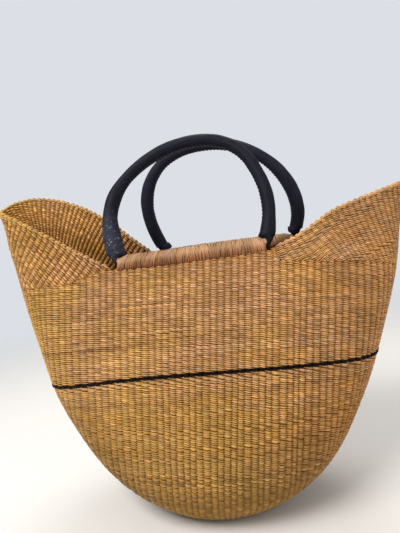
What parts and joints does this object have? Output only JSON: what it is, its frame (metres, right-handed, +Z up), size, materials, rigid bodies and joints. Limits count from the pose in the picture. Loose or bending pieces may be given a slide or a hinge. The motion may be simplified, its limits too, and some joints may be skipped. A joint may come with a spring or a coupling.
{
  "type": "bolga basket",
  "caption": "Hand-woven straw shopper with a round bowl, a saddle-shaped mouth with raised wings at both ends, a dark woven band and leather-wrapped loop handles bound to the rim.",
  "frame": {"origin": "centre of the flat round patch under the base that the basket stands on", "axes": "+Z up; +X from the left wing to the right wing as seen from the front; -Y towards the viewer in front"},
  "size_m": [0.4726, 0.2282, 0.417],
  "materials": {
    "golden_straw": "matte",
    "tan_straw": "matte",
    "amber_straw": "matte",
    "dyed_black_straw": "matte",
    "edge_straw": "matte",
    "roll_straw": "matte",
    "core_straw": "matte",
    "black_leather": "satin",
    "black_lace": "matte"
  },
  "bodies": {
    "basket": {"base_weave": "golden_straw", "lower_wall": "golden_straw", "accent_band": "dyed_black_straw", "upper_wall": "tan_straw", "left_wing": "golden_straw", "right_wing": "amber_straw", "left_wing_border": "edge_straw", "right_wing_border": "edge_straw", "front_rim_binding": "roll_straw", "back_rim_binding": "roll_straw"},
    "front_handle": {"front_handle_core": "core_straw", "front_handle_leather": "black_leather", "front_handle_lacing": "black_lace"},
    "back_handle": {"back_handle_core": "core_straw", "back_handle_leather": "black_leather", "back_handle_lacing": "black_lace"}
  },
  "joints": [
    {"name": "front_handle_hinge", "type": "hinge", "parent": "basket", "child": "front_handle", "pos_m": [0.004, -0.0454, 0.2899], "axis": [1, 0, 0], "range_deg": [-3, 90]},
    {"name": "back_handle_hinge", "type": "hinge", "parent": "basket", "child": "back_handle", "pos_m": [0.037, 0.0454, 0.2899], "axis": [1, 0, 0], "range_deg": [-90, 3]}
  ]
}
